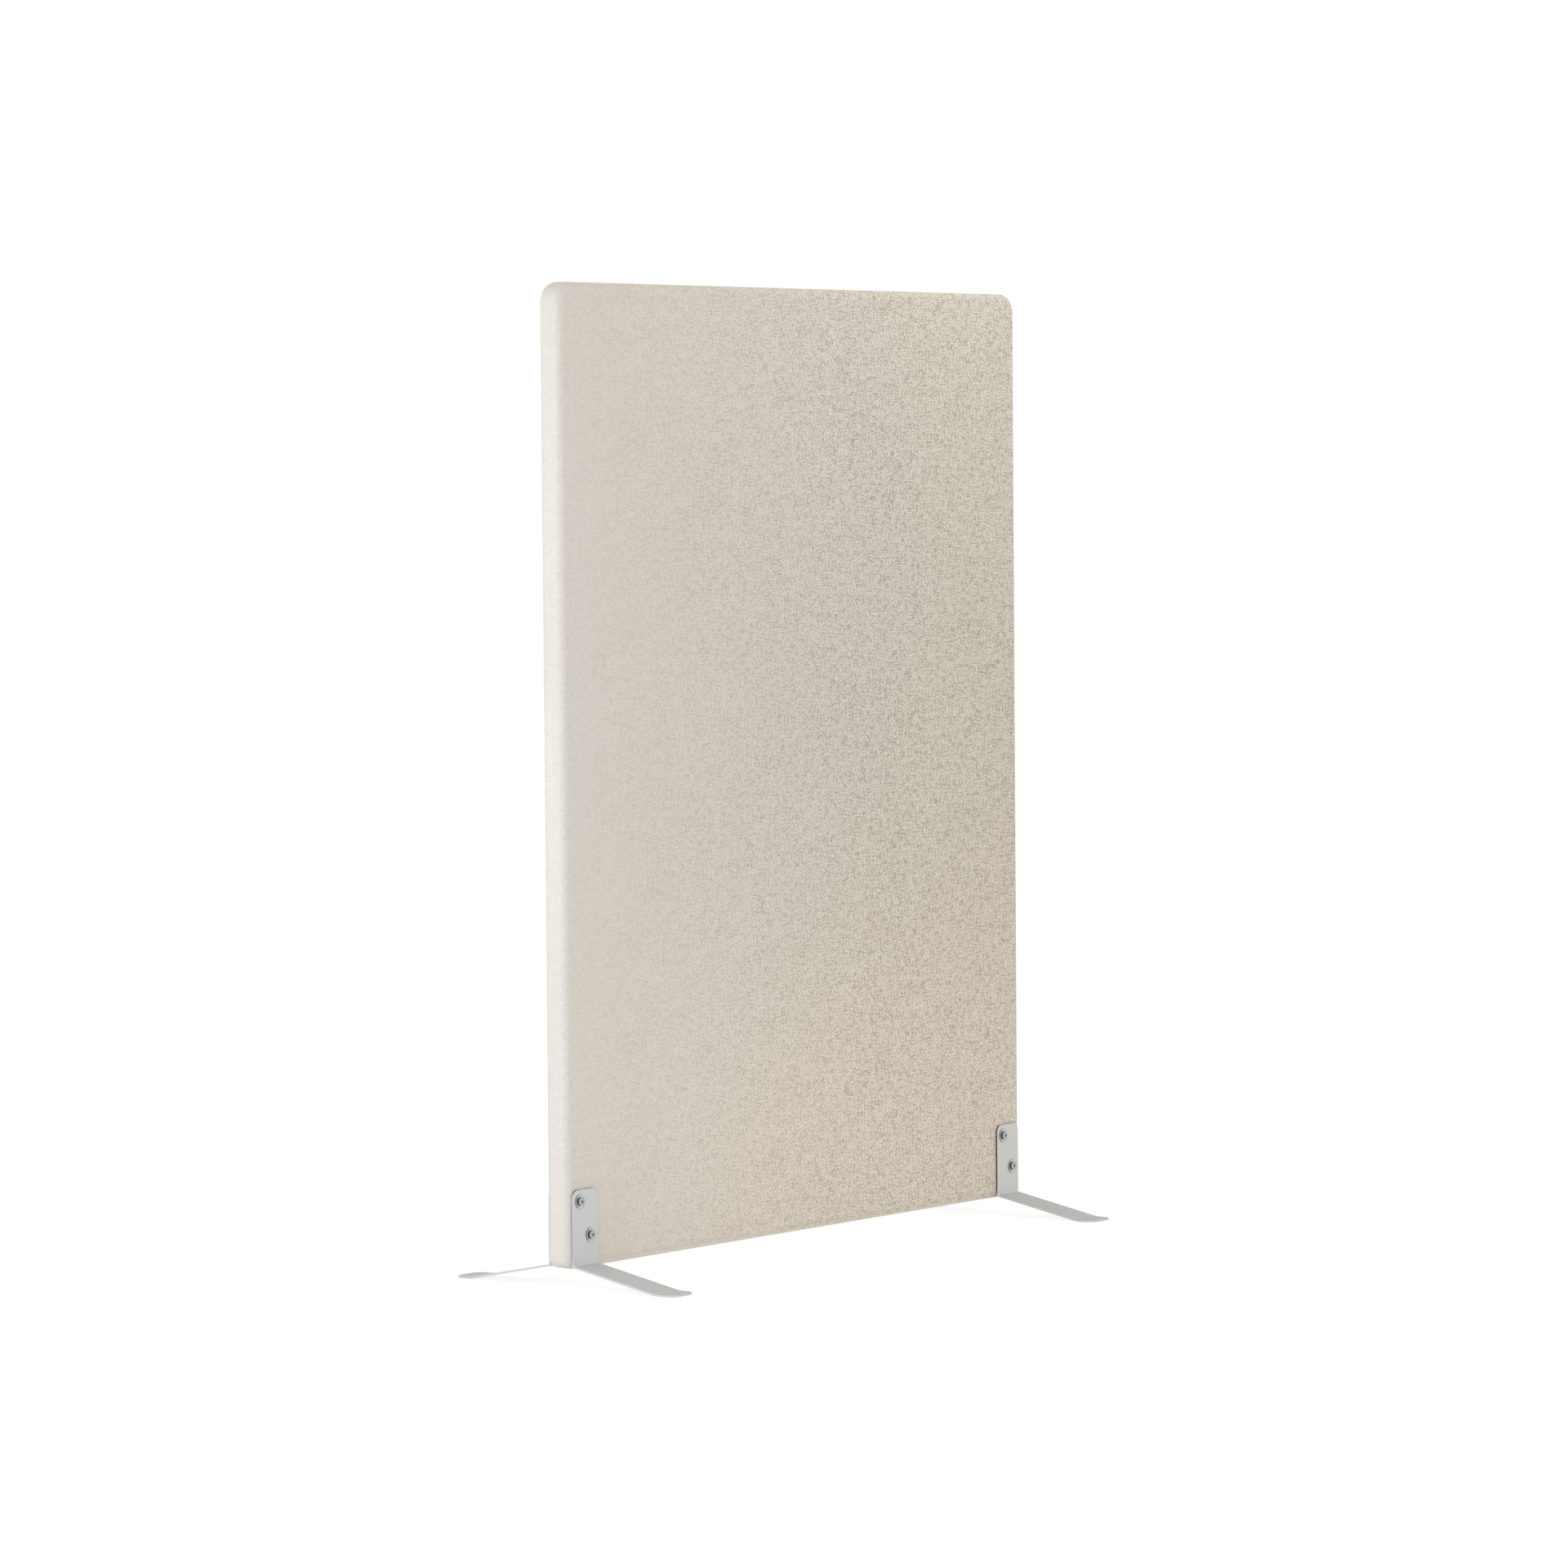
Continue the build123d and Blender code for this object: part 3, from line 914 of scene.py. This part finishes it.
# Screws and washers: a turned profile, set at the eight places
screwSizes = {
    "headRadius": 0.007,
    "rimHeight": 0.0024,
    "headHeight": 0.0032,
    "shankRadius": 0.004,
    "threadDepth": 0.0006,
    "threadPitch": 0.00125,
    "threads": 18,
    "plainRun": 0.001,  # without thread at each end, and the chamfer of the tip
    "length": 0.025,
    "domePoints": 9,
    "domePower": 2.6,
    "arris": 0.0003,
    "headSeat": 0.0045,
    "keyWidth": 0.004,
    "socketDepth": 0.0012,
}
washerSizes = {"radius": 0.011, "hole": 0.0042, "low": 0.003, "high": 0.0045, "arris": 0.00025}
turningSizes = {
    "Segments": 48,
    "Centre": -feetSizes["centre"],
    "Seat": feetSizes["seat"],
    "Offset": feetSizes["offset"],
    "Upper Level": feetSizes["upper"],
    "Level Pitch": feetSizes["pitch"],
    "Socket Radius": 0.0,
    "Socket Floor": 0.0,
    "Key Depth": 0.01,
    "Weld": 0.000005,
    "Seed": 4,
    "Spin": 6.0,  # radians over which the sockets are turned at random
    "Finish": None,
}
fastenerAngle = 35.0  # degrees; sharper edges stay sharp


def screwProfile(v):
    plain = v["plainRun"]
    points = [(0.0, -v["length"]), (v["shankRadius"] - plain, -v["length"])]
    root = v["shankRadius"] - v["threadDepth"]
    for turn in range(v["threads"]):
        low = -v["length"] + plain + turn * v["threadPitch"]
        points += [(v["shankRadius"], low), (root, low + v["threadPitch"] / 2)]
    points += [(v["shankRadius"], -plain), (v["shankRadius"], 0.0)]
    points += [(v["headRadius"] - v["arris"], 0.0), (v["headRadius"], v["arris"])]
    rise = v["headHeight"] - v["rimHeight"]
    for step in range(v["domePoints"]):
        angle = math.pi / 2 * step / (v["domePoints"] - 1)
        out = max(math.cos(angle), 0.0) ** (2 / v["domePower"])
        up = math.sin(angle) ** (2 / v["domePower"])
        points.append((v["headRadius"] * out, v["rimHeight"] + rise * up))
    return [(radius, height + v["headSeat"]) for radius, height in points]


def washerProfile(v):
    arris = v["arris"]
    return [
        (v["hole"], v["high"] - arris),
        (v["hole"], v["low"] + arris),
        (v["hole"] + arris, v["low"]),
        (v["radius"] - arris, v["low"]),
        (v["radius"], v["low"] + arris),
        (v["radius"], v["high"] - arris),
        (v["radius"] - arris, v["high"]),
        (v["hole"] + arris, v["high"]),
        (v["hole"], v["high"] - arris),
    ]


def turnedTree(sizes):
    tree, v, start, end = geometryTree("turnedFasteners", sizes)
    profile = start.outputs["Geometry"]
    counted = addNode(tree, "GeometryNodeAttributeDomainSize", {"Geometry": profile})
    rows = Field(tree, counted.outputs["Point Count"])
    grid = addNode(
        tree,
        "GeometryNodeMeshGrid",
        {"Size X": 1.0, "Size Y": 1.0, "Vertices X": v["Segments"] + 1.0, "Vertices Y": rows},
    )
    shareX, shareY, _ = separate(tree, addNode(tree, "GeometryNodeInputPosition").outputs[0])
    row = ((shareY + 0.5) * (rows - 1.0) + 0.5).whole()
    place = addNode(tree, "GeometryNodeInputPosition").outputs[0]
    sampled = addNode(
        tree,
        "GeometryNodeSampleIndex",
        {"Geometry": profile, "Value": place, "Index": row},
        data_type="FLOAT_VECTOR",
        domain="POINT",
    )
    radius, _, height = separate(tree, sampled.outputs[0])
    angle = (shareX + 0.5) * (math.pi * 2)
    onCircle = combine(tree, radius * angle.cosine(), radius * angle.sine(), height)
    turned = addNode(
        tree, "GeometryNodeSetPosition", {"Geometry": grid.outputs[0], "Position": onCircle}
    )
    closed = addNode(
        tree, "GeometryNodeMergeByDistance", {"Geometry": turned.outputs[0], "Distance": v["Weld"]}
    )
    key = addNode(
        tree,
        "GeometryNodeMeshCylinder",
        {"Vertices": 6, "Radius": v["Socket Radius"], "Depth": v["Key Depth"]},
    )
    keyLevel = combine(tree, 0.0, 0.0, v["Socket Floor"] + v["Key Depth"] * 0.5)
    keyPlaced = addNode(
        tree, "GeometryNodeTransform", {"Geometry": key.outputs["Mesh"], "Translation": keyLevel}
    )
    cut = addNode(
        tree,
        "GeometryNodeMeshBoolean",
        {0: closed.outputs[0], 1: keyPlaced.outputs[0]},
        operation="DIFFERENCE",
    )
    hasSocket = v["Socket Radius"].over(0.0)
    keyed = addNode(
        tree,
        "GeometryNodeSwitch",
        {"Switch": hasSocket, "False": closed.outputs[0], "True": cut.outputs[0]},
        input_type="GEOMETRY",
    )
    index = Field(tree, addNode(tree, "GeometryNodeInputIndex").outputs[0])

    def flips(step):
        # +1 and -1 in turn, changing every so many places
        return (index / step).whole().calc("MODULO", 2.0) * 2.0 - 1.0

    which = flips(1.0)
    side = flips(2.0)
    ends = flips(4.0)
    at = combine(
        tree,
        ends * v["Centre"] + side * which * v["Offset"],
        side * v["Seat"],
        v["Upper Level"] - (1.0 - which) * 0.5 * v["Level Pitch"],
    )
    places = addNode(tree, "GeometryNodePoints", {"Count": 8, "Position": at})
    outward = combine(tree, -math.pi / 2, 0.0, (1.0 - side) * (math.pi / 2))
    outset = addNode(
        tree,
        "GeometryNodeInstanceOnPoints",
        {"Points": places.outputs[0], "Instance": keyed.outputs[0], "Rotation": outward},
    )
    spin = addNode(
        tree,
        "FunctionNodeRandomValue",
        {"Min": 0.0, "Max": 1.0, "Seed": v["Seed"]},
        data_type="FLOAT",
    )
    spinAngle = combine(tree, 0.0, 0.0, Field(tree, spin.outputs["Value"]) * v["Spin"])
    spun = addNode(
        tree, "GeometryNodeRotateInstances", {"Instances": outset.outputs[0], "Rotation": spinAngle}
    )
    spun.inputs["Local Space"].default_value = True
    real = addNode(tree, "GeometryNodeRealizeInstances", {"Geometry": spun.outputs[0]})
    finish = addNode(
        tree, "GeometryNodeSetMaterial", {"Geometry": real.outputs[0], "Material": v["Finish"]}
    )
    tree.links.new(finish.outputs[0], end.inputs[0])
    return tree


turned = turnedTree({**turningSizes, "Finish": screwSteel})


def makeTurned(name, profile, node, material, **changes):
    mesh = bpy.data.meshes.new(name)
    mesh.from_pydata([(radius, 0.0, height) for radius, height in profile], [], [])
    piece = newObject(name, mesh)
    useTree(piece, turned, {**turningSizes, "Finish": material, **changes})
    settle(piece)
    shape = bmesh.new()
    shape.from_mesh(piece.data)
    bmesh.ops.recalc_face_normals(shape, faces=shape.faces)
    shape.to_mesh(piece.data)
    shape.free()
    smoothByAngle(piece, fastenerAngle)
    dress(piece, material, "screw_steel", node)


screwTop = screwSizes["headSeat"] + screwSizes["headHeight"]
socketSizes = {
    "Socket Radius": screwSizes["keyWidth"] / 2 / math.cos(math.pi / 6),
    "Socket Floor": screwTop - screwSizes["socketDepth"],
}
makeTurned("footScrews", screwProfile(screwSizes), "foot_screws", screwSteel, **socketSizes)
makeTurned("footWashers", washerProfile(washerSizes), "foot_washers", washerSteel)
print("fasteners made")


# Inner pieces and the closing strip keep their own solids and get their finish
def finishNodes():
    finishes = {
        "top_rail": pineAlong,
        "middle_rail": pineAlong,
        "bottom_rail": pineAlong,
        "left_stile": pineUpright,
        "right_stile": pineUpright,
        "left_foot_block": hardwood,
        "right_foot_block": hardwood,
        "frame_tenons": beech,
        "threaded_inserts": zincPlate,
        "closing_strip": stripPlastic,
    }
    for name, material in finishes.items():
        nodes[name].data.materials.clear()
        nodes[name].data.materials.append(material)


finishNodes()


# Stage: pale floor, white surroundings, soft lamps and one grey card
stageLook = {
    "floorColour": (0.86, 0.86, 0.86),
    "floorHalf": 30.0,
    "glow": 0.80,  # how much of the seen floor is plain white
    "glowStrength": 1.09,
    "ambient": 0.812,
    "ambientColour": (1.0, 0.953, 0.866),
    "card": {  # the darker side of the studio, which only gloss shows
        "place": (2.5, 1.3, 1.0),
        "aim": (0.56, -0.1, 0.1),
        "size": (2.4, 2.0),
        "tone": 0.60,
    },
    "lamps": {
        "leftSoftbox": {
            "place": (-2.6, 0.8, 1.25),
            "aim": (-0.6, 0.0, 0.8),
            "size": (2.2, 2.4),
            "power": 36.5,
            "colour": (0.81, 0.905, 1.0),
        },
        "frontSoftbox": {
            "place": (-2.2, -1.3, 1.0),
            "aim": (-0.5, 0.0, 0.75),
            "size": (1.0, 1.8),
            "power": 25.5,
            "colour": (0.55, 0.68, 1.0),
        },
        "topSoftbox": {
            "place": (0.8, -0.85, 2.4),
            "aim": (0.5, 0.0, 1.45),
            "size": (1.6, 0.7),
            "power": 13.0,
            "colour": (0.92, 0.97, 1.0),
        },
        "lowSoftbox": {
            "place": (0.35, -0.62, 0.11),
            "aim": (0.35, 0.0, 0.04),
            "size": (1.5, 0.12),
            "power": 1.15,
            "colour": (1.0, 0.92, 0.76),
        },
        "underSoftbox": {
            "place": (0.0, 0.0, 0.004),  # lights the lower rim from below, as a white floor does
            "aim": (0.0, 0.0, 0.03),
            "size": (1.2, 0.042),
            "power": 0.100,
            "colour": (1.0, 0.97, 0.93),
        },
    },
}


def makeSheet(name, sizeX, sizeY):
    # a flat rectangle, face up
    x, y = sizeX / 2, sizeY / 2
    mesh = bpy.data.meshes.new(name)
    mesh.from_pydata([(-x, -y, 0.0), (x, -y, 0.0), (x, y, 0.0), (-x, y, 0.0)], [], [(0, 1, 2, 3)])
    return newObject(name, mesh)


def bareMaterial(name, piece):
    # a material without its usual shader; returns its tree and the socket for the surface
    material, tree, shader = newMaterial(name)
    tree.nodes.remove(shader)
    piece.data.materials.append(material)
    return tree, tree.nodes["Material Output"].inputs["Surface"]


def turnTowards(place, aim):
    return (Vector(aim) - Vector(place)).to_track_quat("-Z", "Y")


def makeFloor(v):
    floor = makeSheet("floor", v["floorHalf"] * 2, v["floorHalf"] * 2)
    tree, surface = bareMaterial("paleFloor", floor)
    plain = addNode(tree, "ShaderNodeBsdfDiffuse", {"Color": (*v["floorColour"], 1.0)}).outputs[0]
    glow = {"Color": (1.0, 1.0, 1.0, 1.0), "Strength": v["glowStrength"]}
    white = addNode(tree, "ShaderNodeEmission", glow).outputs[0]
    seen = addNode(tree, "ShaderNodeMixShader", {0: v["glow"], 1: plain, 2: white}).outputs[0]
    final = addNode(tree, "ShaderNodeMixShader", {0: whiteRays(tree), 1: plain, 2: seen})
    tree.links.new(final.outputs[0], surface)


def makeLamps(lamps):
    for name, v in lamps.items():
        light = bpy.data.lights.new(name, "AREA")
        light.shape = "RECTANGLE"
        light.size, light.size_y = v["size"]
        light.energy = v["power"]
        light.color = v["colour"]
        holder = bpy.data.objects.new(name, light)
        scene.collection.objects.link(holder)
        holder.location = v["place"]
        holder.rotation_euler = turnTowards(v["place"], v["aim"]).to_euler()
        holder.visible_camera = False
        holder.visible_glossy = False


def makeCard(v):
    card = makeSheet("greyCard", *v["size"])
    turn = turnTowards(v["place"], v["aim"]).to_matrix().to_4x4()
    card.data.transform(Matrix.Translation(v["place"]) @ turn)
    for kind in ("camera", "diffuse", "transmission", "shadow"):
        setattr(card, "visible_" + kind, False)
    tree, surface = bareMaterial("greyCard", card)
    grey = {"Color": (1.0, 1.0, 1.0, 1.0), "Strength": v["tone"]}
    tree.links.new(addNode(tree, "ShaderNodeEmission", grey).outputs[0], surface)


def whiteRays(tree):
    # 1 for what the camera sees, straight or by a mirror or through glass
    rays = addNode(tree, "ShaderNodeLightPath").outputs
    names = ("Is Camera Ray", "Is Glossy Ray", "Is Transmission Ray")
    straight, mirrored, through = [Field(tree, rays[name]) for name in names]
    return straight.atLeast(mirrored).atLeast(through)


def makeWorld(v):
    world = bpy.data.worlds.new("studio")
    scene.world = world
    world.use_nodes = True
    tree = world.node_tree
    tree.nodes.clear()
    ambient = {"Color": (*v["ambientColour"], 1.0), "Strength": v["ambient"]}
    dim = addNode(tree, "ShaderNodeBackground", ambient).outputs[0]
    plain = {"Color": (1.0, 1.0, 1.0, 1.0), "Strength": 1.0}
    white = addNode(tree, "ShaderNodeBackground", plain).outputs[0]
    mixed = addNode(tree, "ShaderNodeMixShader", {0: whiteRays(tree), 1: dim, 2: white})
    out = tree.nodes.new("ShaderNodeOutputWorld")
    tree.links.new(mixed.outputs[0], out.inputs["Surface"])


makeFloor(stageLook)
makeLamps(stageLook["lamps"])
makeCard(stageLook["card"])
makeWorld(stageLook)
scene.view_settings.view_transform = "Standard"
print("stage set")
